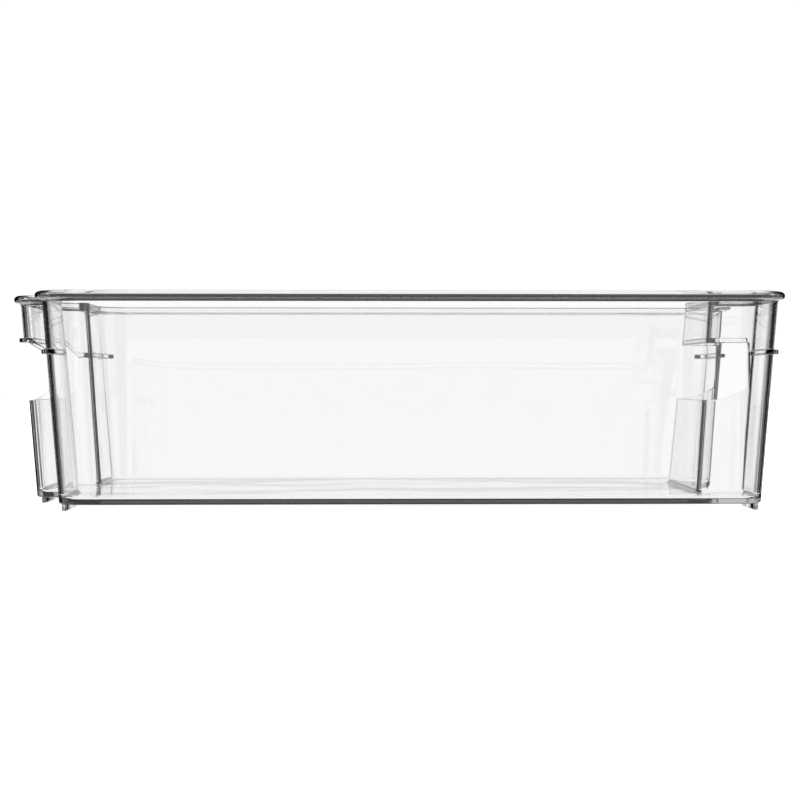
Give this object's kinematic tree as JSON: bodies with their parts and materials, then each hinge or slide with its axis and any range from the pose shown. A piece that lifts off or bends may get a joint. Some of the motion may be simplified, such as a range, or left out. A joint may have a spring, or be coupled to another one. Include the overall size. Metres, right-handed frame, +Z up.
{
  "type": "fridge drawer organizer",
  "caption": "Clear tapered fridge organizer bin with a flared stacking rim, hand slots under the grips of its pull nose and finger recess, stacking beads and low foot ridges.",
  "frame": {"origin": "middle of the footprint, on the surface that the foot ridges stand on", "axes": "+X from the pull nose to the finger recess, +Y across, +Z up"},
  "size_m": [0.3174, 0.16, 0.0875],
  "materials": {
    "clear_plastic": "clear, polished, injection moulded"
  },
  "bodies": {
    "root": {"tub_shell": "clear_plastic", "stacking_rim": "clear_plastic", "pull_grip_band": "clear_plastic", "recess_grip_band": "clear_plastic", "pull_end_rib": "clear_plastic", "recess_end_rib": "clear_plastic", "foot_ridge_pull_near": "clear_plastic", "foot_ridge_pull_far": "clear_plastic", "foot_ridge_recess_near": "clear_plastic", "foot_ridge_recess_far": "clear_plastic", "foot_ridge_nose": "clear_plastic"}
  },
  "joints": []
}
